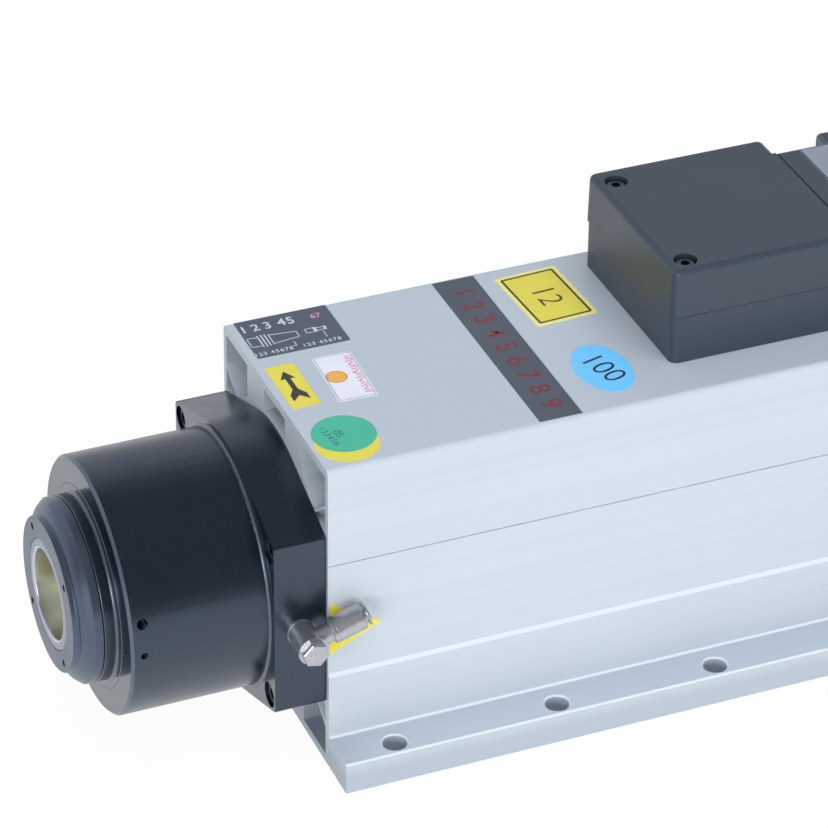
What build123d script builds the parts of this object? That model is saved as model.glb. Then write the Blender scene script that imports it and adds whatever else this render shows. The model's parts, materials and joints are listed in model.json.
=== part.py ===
from build123d import *
from math import acos, atan2, cos, hypot, pi, radians, sin, tan
import os

# Motor spindle with an automatic tool clamp. Millimetres, +Z up, +X from the nose
# to the rear, +Y to the side away from the air fitting. The origin is the centre of
# the base's underside. Distances called "along" run rearward from the body's front face.

# Body extrusion
body_length = 220.0
body_width = 100.0
body_height = 120.0
upper_step = 0.6
step_height = 38.0
step_rise = 1.6
foot_width = 132.0
foot_thickness = 12.0
foot_hole_radius = 4.25
foot_hole_spacing_y = 120.0
foot_hole_pitch = 60.0
foot_hole_count = 4
skin = 3.2
top_corner_radius = 2.5
groove_height = 82.4
groove_depth = 0.5
groove_width = 0.3
axis_height = body_height / 2

# Bore for the stator and the solid ring round it
stator_radius = 43.5
tube_radius = 49.5
pocket_inner_y = 26.0
centre_pocket_half = 9.8
pocket_floor = 35.5
pocket_clearance = 2.0
fin_thickness = 1.0
fin_length = 22.0
fin_angle = 37.5
fin_centre = (42.0, 41.0)

# Fits
seat_gap = 0.02
run_gap = 0.06
clear_gap = 0.4

# Front housing
flange_thickness = 18.5
flange_radius = 48.0
flange_half_width = 48.0
flange_half_height = 34.0
flange_round = 1.5
barrel_radius = 45.0
barrel_reach = 67.4
edge_chamfer = 1.0
side_hole_set_back = 4.5
side_hole_radius = 1.9
side_hole_angle = 15.3
pin_radius = 1.25
spigot_length = 6.0
screw_y = 42.5
screw_z = 29.5

# Front bearings, 40 x 68 x 15
front_bearing = {"inner": 20.0, "outer": 34.0, "width": 15.0, "balls": 10, "ball": 4.4}
front_spacer = 10.0

# Rear bearings, 30 x 55 x 13
rear_bearing = {"inner": 15.0, "outer": 27.5, "width": 13.0, "balls": 9, "ball": 3.8}
bearing_lip = 3.0
bearing_seat = 3.5
rear_margin = 0.5
race_land = 2.6
cage_half = 1.6

# Front cap and nose ring
cap_radius = 35.4
cap_hub_radius = 32.2
cap_proud = 0.2
cap_hub_length = 4.9
cap_depth = 7.4
cap_reach = barrel_reach + cap_hub_length
labyrinth_gap = 0.4
shoulder_width = 3.0
nose_length = 9.3
nose_reach = cap_reach + nose_length
nose_ring_radius = 27.0
nose_rim = 2.0
nose_radius = 19.4
sleeve_radius = 25.5
pin_hole_circle = 23.6
pin_hole_radius = 1.3
pin_hole_angle = 51.4

# Taper socket, 7/24, size 30
gauge_radius = 31.75 / 2
claw_bore_radius = 8.85
mouth_chamfer = 0.45
taper_length = (gauge_radius - claw_bore_radius) * 48 / 7
guide_length = 12.0
rod_radius = 5.0
spring_bore_radius = 10.2
lock_nut_radius = 22.0
lock_nut_width = 8.0
shaft_tail = 4.5

# Motor
core_start = 50.0
rotor_radius = 27.0
core_seat_radius = 20.0
air_gap = 0.5
slot_count = 12
winding_length = 19.0
winding_gap = 1.0

# Rear plate, unclamping cylinder and piston
plate_thickness = 4.8
cylinder_radius = 42.0
cylinder_bore = 34.0
cylinder_nose = 14.0
cylinder_wall = 6.0
chamber_length = 24.5
cover_thickness = 8.0
piston_thickness = 12.0
piston_rod_radius = 8.0
piston_stroke = 9.0
push_gap = 1.2

# Fan cowl and fan
cowl_length = 93.0
cowl_bottom = 4.0
cowl_top = 149.0
cowl_wall = 3.0
cowl_round = 2.5
fan_size = 92.0
fan_depth = 25.4
fan_bore = 43.5
fan_hub = 18.0
fan_hole_spacing = 82.5
guard_thickness = 1.2
guard_slot_count = 4
guard_first_slot = 12.0
guard_slot_pitch = 8.0
guard_slot_width = 6.0
blade_count = 7

# Terminal box
box_set_back = 21.1
box_length = 67.4
box_near = -31.1
box_width = 72.6
split_height = 138.3
lid_top = 156.3
box_wall = 3.0
box_round = 3.0
base_inset = 0.4
seam_depth = 0.9
seam_height = 0.4
lid_screw_inset = 7.0
lid_screw_far_inset = 9.5
recess_radius = 4.1
recess_depth = 3.4
fix_front = 15.7
fix_rear = 9.7
fix_near = 9.2
fix_far = 19.3
fix_depth = 8.0
block_length = 46.0
block_width = 16.0
block_height = 14.0
pole_count = 5
pole_pitch = 9.0
wire_hole_radius = 5.0
wire_hole_past_core = 12.0
wire_hole_y = 18.0

# Wiring cover behind the terminal box
cover_gap = 0.5
cover_near = -21.4
cover_width = 51.4
cover_length = 62.0
cover_wall = 2.5

# Air elbow on the flange's near side
elbow_along = -flange_thickness / 2
elbow_z = 58.0
elbow_angle = 18.5
elbow_radius = 4.75
elbow_length = 10.6
elbow_washer = 0.8
port_out = 7.2
hex_flat = 8.0
hex_height = 3.0
hex_turn = 13.0
port_radius = 4.6
neck_radius = 3.4
port_start = 8.5
port_end = 20.2
collar_radius = 4.3
collar_travel_gap = 1.05
tube_hole_radius = 2.1

front_x = -body_length / 2
plate_rear = body_length + plate_thickness
sides = (-1, 1)


def at(along, y=0.0, z=0.0):
    return Vector(front_x + along, y, z)


def turned(points, rounds=()):
    outline = Polyline([at(a, 0, axis_height + r) for a, r in points], close=True)
    face = make_face(outline)
    for along, r, size in rounds:
        corner = face.vertices().sort_by_distance(at(along, 0, axis_height + r))[0]
        face = fillet(corner, size)
    return revolve(face, Axis(at(0, 0, axis_height), (1, 0, 0)), 360)


def ring(start, end, outer, inner):
    return turned([(start, inner), (start, outer), (end, outer), (end, inner)])


def across(start, end, sketch):
    plane = Plane(at(start), x_dir=(0, 1, 0), z_dir=(1, 0, 0))
    return extrude(plane * sketch, end - start)


def upward(low, high, sketch, taper=0.0):
    return extrude(Plane.XY.offset(low) * sketch, high - low, taper=taper)


def rod(start, end, radius):
    span = end - start
    return extrude(Plane(start, z_dir=span) * Circle(radius), span.length)


def hex_rod(start, end, flat):
    span = end - start
    shape = RegularPolygon(flat / 2, 6, major_radius=False)
    return extrude(Plane(start, z_dir=span) * shape, span.length)


def tube(start, end, outer, inner):
    return rod(start, end, outer) - rod(start, end, inner)


def spot(y, z):
    return Pos(y, axis_height + z)


def four_spots(y, z):
    return [(a * y, b * z) for a in sides for b in sides]


# Fasteners


def cap_screw(start, end, radius, head_radius, head_height, recess=2.4):
    # A socket head screw whose head sits before start and whose shank runs to end.
    way = (end - start).normalized()
    head = rod(start - way * head_height, start, head_radius)
    socket = hex_rod(start - way * head_height, start - way * (head_height - recess), radius * 1.6)
    return head - socket + rod(start, end, radius)


def flat_screw(start, end, radius, head_radius):
    # A countersunk screw whose head's face lies at start.
    way = (end - start).normalized()
    depth = head_radius - radius
    cone = extrude(Plane(start, z_dir=way) * Circle(head_radius), depth, taper=45)
    socket = hex_rod(start, start + way * depth * 0.7, radius * 1.3)
    return cone + rod(start + way * depth, end, radius) - socket


# Body extrusion


def outer_outline():
    half, foot, top = body_width / 2, foot_width / 2, body_height
    upper = half - upper_step
    right = [
        (foot, 0),
        (foot, foot_thickness),
        (half, foot_thickness),
        (half, step_height - step_rise / 2),
        (upper, step_height + step_rise / 2),
        (upper, groove_height - groove_width / 2),
        (upper - groove_depth, groove_height - groove_width / 2),
        (upper - groove_depth, groove_height + groove_width / 2),
        (upper, groove_height + groove_width / 2),
        (upper, top),
    ]
    left = [(-y, z) for y, z in reversed(right)]
    face = make_face(Polyline(right + left, close=True))
    for side in sides:
        for y, z, size in (
            (upper, top, top_corner_radius),
            (half, foot_thickness, 1.0),
            (foot, foot_thickness, 0.8),
        ):
            corner = face.vertices().sort_by_distance((side * y, z))[0]
            face = fillet(corner, size)
    for side in sides:
        for y, wide, deep in ((half + 0.3, 0.6, 1.9), (half + 4.9, 0.5, 0.8)):
            notch = Polyline([(y - wide, 0), (y, deep), (y + wide, 0)], close=True)
            face -= Pos(side * y - y, 0) * make_face(notch)
    return face


def pocket_sketches():
    # The air channels round the stator ring: a wide one at the middle of the top and
    # bottom, and one in each corner with a thin fin across it.
    top, wall = axis_height - skin, body_width / 2 - skin
    low = tube_radius * 0.9
    middle = Pos(0, (top + low) / 2) * Rectangle(centre_pocket_half * 2, top - low) - Circle(tube_radius)
    corner = Rectangle(wall - pocket_inner_y, top - pocket_floor)
    corner = Pos((wall + pocket_inner_y) / 2, (top + pocket_floor) / 2) * corner
    fin = Pos(*fin_centre) * Rot(0, 0, fin_angle) * Rectangle(fin_length, fin_thickness)
    corners = [corner - Circle(tube_radius + pocket_clearance) - fin]
    corners.append(mirror(corners[0], Plane.YZ))
    upper = [middle] + corners
    lower = [mirror(shape, Plane.XZ) for shape in upper]
    return [Pos(0, axis_height) * shape for shape in upper + lower]


def cut_pockets(solid, start, end):
    for sketch in pocket_sketches():
        solid = solid - across(start, end, sketch)
    return solid


def foot_hole_places():
    first = -foot_hole_pitch * (foot_hole_count - 1) / 2
    for i in range(foot_hole_count):
        for side in sides:
            yield first + i * foot_hole_pitch, side * foot_hole_spacing_y / 2


housing_screw_depth = 15.0
screw_radius = 2.5


def body_extrusion():
    solid = across(0, body_length, outer_outline())
    solid = cut_pockets(solid, 0, body_length)
    solid = solid - ring(-1, body_length + 1, stator_radius, 0)
    for x, y in foot_hole_places():
        hole = Pos(x, y) * Circle(foot_hole_radius)
        solid = solid - upward(-1, foot_thickness + 1, hole)
        cone = Plane.XY.offset(foot_thickness) * Pos(x, y) * Circle(foot_hole_radius + 0.5)
        solid = solid - extrude(cone, -0.5, taper=45)
    for y, z in four_spots(screw_y, screw_z):
        for a, b in ((0, housing_screw_depth), (body_length - housing_screw_depth, body_length)):
            solid = solid - across(a, b, spot(y, z) * Circle(screw_radius + seat_gap))
    hole = Pos(*wire_hole()) * Circle(wire_hole_radius)
    solid = solid - upward(axis_height, body_height + 1, hole)
    for x, y in box_fix_places():
        hole = Pos(x, y) * Circle(fix_radius + seat_gap)
        solid = solid - upward(body_height - fix_depth - 1, body_height + 1, hole)
    return solid


# Front housing, cap and their screws


def flange_outline():
    # A rectangle and a larger round, joined by the tangents from the rectangle's corners.
    shape = Rectangle(flange_half_width * 2, flange_half_height * 2)
    shape = fillet(shape.vertices(), flange_round) + Circle(flange_radius)
    wide, high = flange_half_width - flange_round, flange_half_height
    touch = atan2(high, wide) + acos(min(1, flange_radius / hypot(wide, high)))
    touch_y, touch_z = flange_radius * cos(touch), flange_radius * sin(touch)
    outline = [(-wide, 0), (wide, 0), (wide, high), (touch_y, touch_z), (-touch_y, touch_z), (-wide, high)]
    upper = make_face(Polyline(outline, close=True))
    return Pos(0, axis_height) * (shape + upper + mirror(upper, Plane.XZ))


def front_housing():
    profile = [
        (-barrel_reach, cap_radius),
        (-barrel_reach, barrel_radius - edge_chamfer),
        (-barrel_reach + edge_chamfer, barrel_radius),
        (-flange_thickness, barrel_radius),
        (-flange_thickness, barrel_radius + 1.5),
        (0, barrel_radius + 1.5),
        (0, stator_radius - seat_gap),
        (spigot_length, stator_radius - seat_gap),
        (spigot_length, front_bearing["outer"] - bearing_lip),
        (-front_shoulder(), front_bearing["outer"] - bearing_lip),
        (-front_shoulder(), front_bearing["outer"] + seat_gap),
        (-front_bearing_start(), front_bearing["outer"] + seat_gap),
        (-front_bearing_start(), cap_radius),
    ]
    solid = turned(profile, [(-flange_thickness, barrel_radius, 1.2)])
    solid = solid + (across(-flange_thickness, 0, flange_outline()) - ring(-flange_thickness - 1, 1, barrel_radius, 0))
    for y, z in four_spots(screw_y, screw_z):
        solid = solid - across(-flange_thickness, 0, spot(y, z) * Circle(screw_radius + 0.25))
        head = spot(y, z) * Circle(4.6)
        solid = solid - across(-flange_thickness, -flange_thickness + 6, head)
    entry = at(elbow_along, -flange_half_width, elbow_z)
    solid = solid - rod(entry, entry + Vector(0, 11, 0), screw_radius + seat_gap)
    # Two tapped holes on the barrel's near side and a small one in its front face.
    for angle, radius, deep in ((side_hole_angle, side_hole_radius, 6.0), (0.0, pin_radius, 5.0)):
        way = Vector(0, -cos(radians(angle)), sin(radians(angle)))
        mouth = at(side_hole_set_back - barrel_reach, 0, axis_height) + way * (barrel_radius + 1)
        solid = solid - rod(mouth - way * deep, mouth, radius)
    pin = at(-barrel_reach, -(cap_radius + barrel_radius) / 2 + pin_radius, axis_height - pin_radius)
    return solid - rod(pin, pin + Vector(4, 0, 0), 0.9)


def front_bearing_start():
    # How far ahead of the front face the first front bearing's front face lies.
    return barrel_reach - cap_depth


def front_shoulder():
    # How far ahead of the front face the second front bearing's rear face lies.
    return front_bearing_start() - front_bearing["width"] * 2 - front_spacer


def front_cap():
    bearing = front_bearing_start()
    bore = sleeve_radius + clear_gap
    profile = [
        (-cap_reach, bore),
        (-cap_reach, cap_hub_radius - 0.3),
        (-cap_reach + 0.3, cap_hub_radius),
        (-barrel_reach - cap_proud, cap_hub_radius),
        (-barrel_reach - cap_proud, cap_radius - 0.3),
        (-barrel_reach - cap_proud + 0.3, cap_radius - seat_gap),
        (-bearing, cap_radius - seat_gap),
        (-bearing, front_bearing["outer"] - bearing_lip),
        (-bearing - 2, front_bearing["outer"] - bearing_lip),
        (-bearing - 2, bore),
    ]
    return turned(profile, [(-barrel_reach - cap_proud, cap_hub_radius, 1.3)])


def flange_screws():
    start = -flange_thickness + 6
    return [
        cap_screw(at(start, y, axis_height + z), at(housing_screw_depth - 3, y, axis_height + z),
                  screw_radius, 4.25, 5.0)
        for y, z in four_spots(screw_y, screw_z)
    ]


# Air elbow

elbow_foot = Vector(front_x + elbow_along, -flange_half_width, elbow_z)
elbow_out = Vector(0, -1, 0)
port_way = Vector(cos(radians(elbow_angle)), 0, sin(radians(elbow_angle)))


def elbow_at(out):
    return elbow_foot + elbow_out * out


def banjo_bolt():
    under_head = elbow_washer * 2 + elbow_length
    flats = Vector(cos(radians(hex_turn)), 0, -sin(radians(hex_turn)))
    plane = Plane(elbow_at(under_head), x_dir=flats, z_dir=elbow_out)
    head = extrude(plane * RegularPolygon(hex_flat / 2, 6, major_radius=False), hex_height)
    head = chamfer(head.faces().sort_by(Axis.Y)[0].outer_wire().edges(), 0.3)
    shank = rod(elbow_at(-9), elbow_at(under_head), screw_radius)
    bore = rod(elbow_at(-9), elbow_at(under_head - 2), 1.2)
    middle = elbow_at(port_out)
    cross = rod(middle - port_way * 3, middle + port_way * 3, 0.9)
    return head + shank - bore - cross


def elbow_washers():
    low = tube(elbow_at(0), elbow_at(elbow_washer), elbow_radius + 0.2, screw_radius + seat_gap)
    start = elbow_washer + elbow_length
    high = tube(elbow_at(start), elbow_at(start + elbow_washer), elbow_radius + 0.5, screw_radius + seat_gap)
    return [low, high]


def elbow_body():
    low, high = elbow_washer + run_gap, elbow_washer + elbow_length - run_gap
    middle = elbow_at(port_out)
    neck = rod(middle, middle + port_way * (port_start + 1), neck_radius)
    port = rod(middle + port_way * port_start, middle + port_way * port_end, port_radius)
    port = chamfer(port.edges().filter_by(GeomType.CIRCLE), 0.35)
    groove = middle + port_way * (port_start + 1.3)
    port = port - tube(groove, groove + port_way * 0.4, port_radius + 0.1, port_radius - 0.3)
    solid = rod(elbow_at(low), elbow_at(high), elbow_radius) + neck + port
    solid = solid - rod(elbow_at(low), elbow_at(high), screw_radius + run_gap)
    solid = solid - rod(middle, middle + port_way * port_end, tube_hole_radius - 0.5)
    seat = port_end - 7.0
    return solid - rod(middle + port_way * seat, middle + port_way * port_end, 3.2)


def release_collar():
    middle = elbow_at(port_out)
    under_rim = port_end + collar_travel_gap
    sleeve = rod(middle + port_way * (port_end - 5.0), middle + port_way * under_rim, 3.1)
    rim = rod(middle + port_way * under_rim, middle + port_way * (under_rim + 0.95), collar_radius)
    rim = chamfer(rim.edges().filter_by(GeomType.CIRCLE), 0.2)
    return sleeve + rim - rod(middle, middle + port_way * (port_end + 3), tube_hole_radius)


# Bearings


def race(start, bearing, side):
    # A ring's half profile: a flat land either side of a groove that wraps the ball.
    pitch = (bearing["inner"] + bearing["outer"]) / 2
    middle, reach = start + bearing["width"] / 2, bearing["ball"] + run_gap
    flat = reach * tan(radians(22.5))
    land = pitch + side * race_land
    floor = pitch + side * reach
    rise = abs(floor - land)
    seat = bearing["outer"] if side > 0 else bearing["inner"] + seat_gap
    end = start + bearing["width"]
    return turned([
        (start, seat), (start, land), (middle - flat - rise, land), (middle - flat, floor),
        (middle + flat, floor), (middle + flat + rise, land), (end, land), (end, seat),
    ])


def bearing_rows(bearing, starts):
    # Outer rings, inner rings, balls and cages for a set of rows.
    pitch, ball, width = (bearing["inner"] + bearing["outer"]) / 2, bearing["ball"], bearing["width"]
    outer, inner, balls, cages = [], [], [], []
    for start in starts:
        outer.append(race(start, bearing, 1))
        inner.append(race(start, bearing, -1))
        cage = ring(start + 1.5, start + width - 1.5, pitch + cage_half, pitch - cage_half)
        for i in range(bearing["balls"]):
            turn = 2 * pi * i / bearing["balls"]
            way = Vector(0, cos(turn), sin(turn))
            centre = at(start + width / 2, 0, axis_height) + way * pitch
            balls.append(Pos(*centre) * Sphere(ball))
            cage = cage - rod(centre - way * 3, centre + way * 3, ball + run_gap)
        cages.append(cage)
    return outer, inner, balls, cages


def front_starts():
    first = -front_bearing_start()
    return [first, first + front_bearing["width"] + front_spacer]


def rear_starts():
    last = body_length - rear_margin - rear_bearing["width"]
    return [last - rear_bearing["width"], last]


def spacers():
    start = -front_bearing_start() + front_bearing["width"]
    end = start + front_spacer
    outer = ring(start, end, front_bearing["outer"], front_bearing["outer"] - 3.5)
    inner = ring(start, end, front_bearing["inner"] + 3.5, front_bearing["inner"] + seat_gap)
    return outer, inner


def rear_housing_front():
    return rear_starts()[0] - bearing_seat


def core_length():
    # The core fills what the two winding heads leave of the bore.
    return rear_housing_front() - winding_gap - winding_length - core_start


def rear_bearing_housing():
    front = rear_housing_front()
    bore = rear_bearing["outer"] + seat_gap
    profile = [
        (front, rear_bearing["outer"] - bearing_lip),
        (front, stator_radius - 3),
        (front + 3, stator_radius - seat_gap),
        (body_length, stator_radius - seat_gap),
        (body_length, bore),
        (front + 2, bore),
        (front + 2, rear_bearing["outer"] - bearing_lip),
    ]
    return turned(profile)


def preload_spring():
    start = rear_starts()[0] - 1.5
    return ring(start, rear_starts()[0], rear_bearing["outer"] - 0.5, rear_bearing["outer"] - 3.2)


# Rotor


def spindle_shaft():
    shoulder, rear_seat = -front_shoulder(), rear_starts()[0]
    core_end = core_start + core_length() + 8
    front_seat, rear_bore = front_bearing["inner"], rear_bearing["inner"]
    nut_end = nut_start() + lock_nut_width
    outside = [
        (-nose_reach + mouth_chamfer, gauge_radius),
        (-nose_reach, gauge_radius + mouth_chamfer),
        (-nose_reach, nose_radius - 0.3),
        (-nose_reach + 0.3, nose_radius),
        (-front_bearing_start(), nose_radius),
        (-front_bearing_start(), front_seat),
        (shoulder, front_seat),
        (shoulder, front_seat + 4),
        (shoulder + 12, front_seat + 4),
        (shoulder + 12, core_seat_radius),
        (core_end, core_seat_radius),
        (core_end, (core_seat_radius + rear_bore) / 2),
        (rear_seat, (core_seat_radius + rear_bore) / 2),
        (rear_seat, rear_bore),
        (nut_end, rear_bore),
        (nut_end, rear_bore - 1.5),
        (shaft_end(), rear_bore - 1.5),
    ]
    inside = [
        (shaft_end(), spring_bore_radius),
        (guide_length, spring_bore_radius),
        (guide_length, rod_radius + run_gap),
        (0, rod_radius + run_gap),
        (0, claw_bore_radius),
        (-nose_reach + taper_length, claw_bore_radius),
    ]
    return turned(outside + inside)


def nose_ring():
    front = -nose_reach
    back = -cap_reach - labyrinth_gap
    crest = cap_hub_radius
    profile = [
        (front, nose_radius + seat_gap),
        (front, nose_ring_radius - 0.2),
        (front + 0.2, nose_ring_radius),
        (front + nose_rim, nose_ring_radius),
        (front + nose_rim + 0.6, nose_ring_radius + 1.5),
        (front + nose_rim + 2.0, nose_ring_radius + 3.4),
        (back - shoulder_width, crest - 0.2),
        (back - shoulder_width + 0.2, crest),
        (back, crest),
        (back, sleeve_radius),
        (-front_bearing_start(), sleeve_radius),
        (-front_bearing_start(), nose_radius + seat_gap),
    ]
    solid = turned(profile, [(front + nose_rim, nose_ring_radius, 0.6),
                             (front + nose_rim + 2.0, nose_ring_radius + 3.4, 1.5)])
    for i in range(4):
        turn = radians(pin_hole_angle + 90 * i)
        centre = at(front, pin_hole_circle * cos(turn), axis_height + pin_hole_circle * sin(turn))
        solid = solid - rod(centre, centre + Vector(3.5, 0, 0), pin_hole_radius)
    return solid


def rotor_core():
    return ring(core_start, core_start + core_length(), rotor_radius, core_seat_radius + seat_gap)


def rotor_end_rings():
    end = core_start + core_length()
    return [
        ring(core_start - 6, core_start, rotor_radius - 1, core_seat_radius + seat_gap),
        ring(end, end + 6, rotor_radius - 1, core_seat_radius + seat_gap),
    ]


def nut_start():
    return rear_starts()[1] + rear_bearing["width"]


def shaft_end():
    return nut_start() + lock_nut_width + shaft_tail


def rear_lock_nut():
    start = nut_start()
    end = start + lock_nut_width
    nut = ring(start, end, lock_nut_radius, rear_bearing["inner"] + seat_gap)
    slot = Pos(lock_nut_radius, 0) * Rectangle(4, 5)
    for i in range(4):
        nut = nut - across(start + 3, end, Pos(0, axis_height) * Rot(0, 0, 45 + 90 * i) * slot)
    return nut


# Stator


def stator_core():
    start, end = core_start, core_start + core_length()
    inner = rotor_radius + air_gap
    solid = ring(start, end, stator_radius - seat_gap, inner)
    slot = Pos(inner + 6.5, 0) * Rectangle(9, 2.4)
    for i in range(slot_count):
        solid = solid - across(start, end, Pos(0, axis_height) * Rot(0, 0, 360 / slot_count * i) * slot)
    return solid


def stator_winding():
    # The winding heads at both ends of the core, with their outer corners bevelled.
    low, high, bevel = rotor_radius + 3, stator_radius - 3, 3.0
    heads = []
    for core_face, way in ((core_start, -1), (core_start + core_length(), 1)):
        end = core_face + way * winding_length
        heads.append(turned([
            (core_face, low), (core_face, high), (end - way * bevel, high), (end, high - bevel),
            (end, low + bevel), (end - way * bevel, low),
        ]))
    return heads


# Tool clamp

claw_pivot = -14.0
rod_front = claw_pivot - 4.0
rod_rear = shaft_end() - 1.0
claw_length = 18.5
claw_tip = claw_pivot - claw_length
nut_length = 12.0
spring_end = shaft_end() - 54.0
disc_count = 16
disc_thickness = 2.2


def drawbar():
    head = 4.2
    profile = [
        (rod_front, 0),
        (rod_front, head),
        (claw_pivot - 1.2, head),
        (claw_pivot - 1.2, 3.4),
        (claw_pivot + 1.4, 3.4),
        (claw_pivot + 1.4, 7.6),
        (claw_pivot + 5.0, 7.6),
        (claw_pivot + 5.0, rod_radius),
        (rod_rear, rod_radius),
        (rod_rear, 0),
    ]
    return turned(profile)


def drawbar_nut():
    start = spring_end
    return ring(start, start + nut_length, spring_bore_radius - 0.4, rod_radius + seat_gap)


def disc_springs():
    start = guide_length
    step = (spring_end - start) / disc_count
    rise = step - disc_thickness
    low, high = rod_radius + 0.15, spring_bore_radius - 0.2
    discs = []
    for i in range(disc_count):
        a = start + i * step
        near, far = (a, a + rise) if i % 2 else (a + rise, a)
        discs.append(turned([
            (near, low), (far, high), (far + disc_thickness, high), (near + disc_thickness, low),
        ]))
    return discs


def claw(index):
    # One of four fingers that close on the pull stud. The hooked tip points inward.
    hook_low, bore = 5.2, 6.6
    profile = [
        (claw_tip, hook_low + 0.8),
        (claw_tip, 8.2),
        (claw_tip + 0.6, 8.4),
        (claw_tip + 4.5, 8.4),
        (claw_tip + 6.0, 7.8),
        (claw_pivot + 1.2, 7.8),
        (claw_pivot + 1.2, 3.6),
        (claw_pivot - 1.0, 3.6),
        (claw_pivot - 1.0, 4.6),
        (claw_pivot - 3.0, bore),
        (claw_tip + 4.5, bore),
        (claw_tip + 3.0, hook_low),
        (claw_tip + 0.8, hook_low),
    ]
    whole = turned(profile)
    # A quarter of the ring, less a gap each side for the swing.
    reach, gap = 12.0, 0.9
    wedge = Polyline([(gap, gap), (reach, gap), (reach, reach), (gap, reach)], close=True)
    sector = Pos(0, axis_height) * Rot(0, 0, 90 * index) * make_face(wedge)
    return whole & across(claw_tip - 1, claw_pivot + 3, sector)


# Rear plate, cylinder and piston


def plate_outline():
    low = cowl_bottom
    high = body_height
    width = (body_width / 2 - upper_step) * 2
    shape = Pos(0, (low + high) / 2) * Rectangle(width, high - low)
    return fillet(shape.vertices(), 2.0)


cowl_screw_y = (centre_pocket_half + pocket_inner_y) / 2
cowl_screw_z = 47.0


def rear_plate():
    solid = across(body_length, plate_rear, plate_outline())
    solid = cut_pockets(solid, body_length, plate_rear)
    solid = solid - ring(body_length, plate_rear, rear_bearing["outer"] - 3.5, 0)
    for y, z in four_spots(screw_y, screw_z):
        place = spot(y, z)
        solid = solid - across(body_length, plate_rear, place * Circle(screw_radius + 0.15))
        sink = Plane(at(plate_rear, y, axis_height + z), z_dir=(-1, 0, 0)) * Circle(screw_radius + 2.65)
        solid = solid - extrude(sink, 2.5, taper=45)
    for y, z in four_spots(cowl_screw_y, cowl_screw_z):
        solid = solid - across(body_length, plate_rear, spot(y, z) * Circle(1.5 + seat_gap))
    for y, z in cylinder_screw_places():
        solid = solid - across(body_length, plate_rear, spot(y, z) * Circle(2.0 + seat_gap))
    return solid


def rear_plate_screws():
    return [
        flat_screw(at(plate_rear, y, axis_height + z), at(body_length - 11, y, axis_height + z),
                   screw_radius, screw_radius + 2.4)
        for y, z in four_spots(screw_y, screw_z)
    ]


def cylinder_screw_places():
    reach = cylinder_radius - 4.0
    return [(reach * cos(radians(45 + 90 * i)), reach * sin(radians(45 + 90 * i))) for i in range(4)]


def chamber_start():
    return plate_rear + cylinder_nose + cylinder_wall


def chamber_end():
    return chamber_start() + chamber_length


def cylinder_body():
    start = plate_rear
    profile = [
        (start, 27.0),
        (start, cylinder_radius),
        (chamber_end(), cylinder_radius),
        (chamber_end(), cylinder_bore),
        (chamber_start(), cylinder_bore),
        (chamber_start(), piston_rod_radius + run_gap),
        (start + cylinder_nose, piston_rod_radius + run_gap),
        (start + cylinder_nose, 27.0),
    ]
    solid = turned(profile)
    for y, z in cylinder_screw_places():
        solid = solid - across(start, chamber_end(), spot(y, z) * Circle(2.0 + 0.2))
    # Two air ports on the far side, opening into each end of the chamber.
    for along in port_places():
        mouth = at(along, cylinder_radius + 1, axis_height)
        solid = solid - rod(mouth - Vector(0, 10, 0), mouth, 2.5)
    return solid


def port_places():
    return (chamber_start() + 3.0, chamber_end() - 3.0)


def cylinder_cover():
    start = chamber_end()
    solid = turned([(start, 0), (start, cylinder_radius), (start + cover_thickness - 1, cylinder_radius),
                    (start + cover_thickness, cylinder_radius - 1), (start + cover_thickness, 0)])
    for y, z in cylinder_screw_places():
        solid = solid - across(start, start + cover_thickness, spot(y, z) * Circle(2.2))
    return solid


def cylinder_screws():
    end = chamber_end() + cover_thickness
    return [
        cap_screw(at(end, y, axis_height + z), at(body_length + 0.3, y, axis_height + z), 2.0, 3.5, 4.0)
        for y, z in cylinder_screw_places()
    ]


def piston_start():
    return chamber_end() - piston_thickness - 2.0


def piston():
    start = piston_start()
    tip = rod_rear + push_gap
    mid = start + piston_thickness / 2
    outer = cylinder_bore - 0.1
    groove = cylinder_bore - 3.0
    return turned([
        (tip, 0), (tip, 6.5), (tip + 1.5, piston_rod_radius), (start, piston_rod_radius),
        (start, outer), (mid - 1.5, outer), (mid - 1.5, groove), (mid + 1.5, groove),
        (mid + 1.5, outer), (start + piston_thickness, outer), (start + piston_thickness, 0),
    ])


def piston_seal():
    mid = piston_start() + piston_thickness / 2
    return ring(mid - 1.4, mid + 1.4, cylinder_bore - run_gap / 2, cylinder_bore - 3.0 + seat_gap)


# Fan cowl, fan and guard

cowl_front = plate_rear
cowl_rear = cowl_front + cowl_length
cowl_middle = (cowl_bottom + cowl_top) / 2
air_port_radius = 4.28
air_port_flat = 14.0


def cowl_box(start, end, inset):
    high, wide = cowl_top - cowl_bottom - inset * 2, body_width - inset * 2
    shape = Pos(0, cowl_middle) * Rectangle(wide, high)
    shape = fillet(shape.vertices(), cowl_round if not inset else 1.5)
    return across(start, end, shape)


def fan_places():
    half = fan_hole_spacing / 2
    return [(a * half, b * half) for a in sides for b in sides]


def fan_spot(y, z):
    return Pos(y, cowl_middle + z)


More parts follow.
